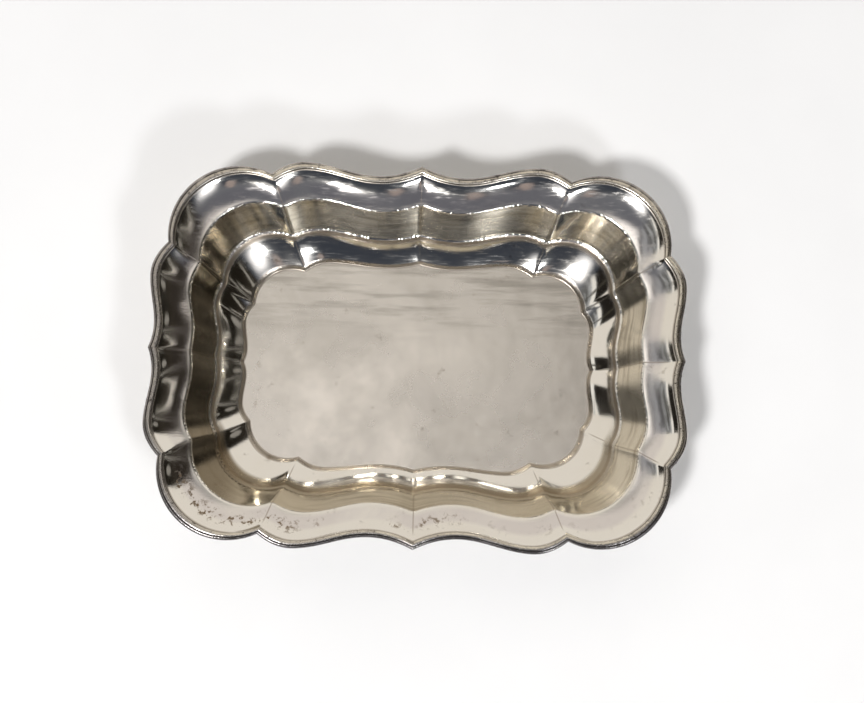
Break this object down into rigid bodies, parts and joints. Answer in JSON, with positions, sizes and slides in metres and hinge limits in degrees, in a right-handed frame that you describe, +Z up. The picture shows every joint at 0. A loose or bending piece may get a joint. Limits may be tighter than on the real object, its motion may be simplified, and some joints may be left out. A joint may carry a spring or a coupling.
{
  "type": "vanity tray",
  "caption": "Oblong lobed vanity tray with stepped ogee walls, a flat floor and a mitred two-reed border wire on its lip.",
  "frame": {"origin": "middle of the flat underside", "axes": "+X along the tray's length, +Y to the back long side, +Z up out of the tray's mouth"},
  "size_m": [0.26, 0.188, 0.038],
  "materials": {
    "dish_silver": "hand-polished silver plate, satin on the floor, lightly tarnished in the hollows",
    "border_silver": "polished silver plate, pitted and darkened between the reeds"
  },
  "bodies": {
    "root": {"dish_body": "dish_silver", "border_long_back_left": "border_silver", "border_long_back_right": "border_silver", "border_long_front_left": "border_silver", "border_long_front_right": "border_silver", "border_corner_back_left": "border_silver", "border_corner_back_right": "border_silver", "border_corner_front_left": "border_silver", "border_corner_front_right": "border_silver", "border_short_back_left": "border_silver", "border_short_back_right": "border_silver", "border_short_front_left": "border_silver", "border_short_front_right": "border_silver"}
  },
  "joints": []
}
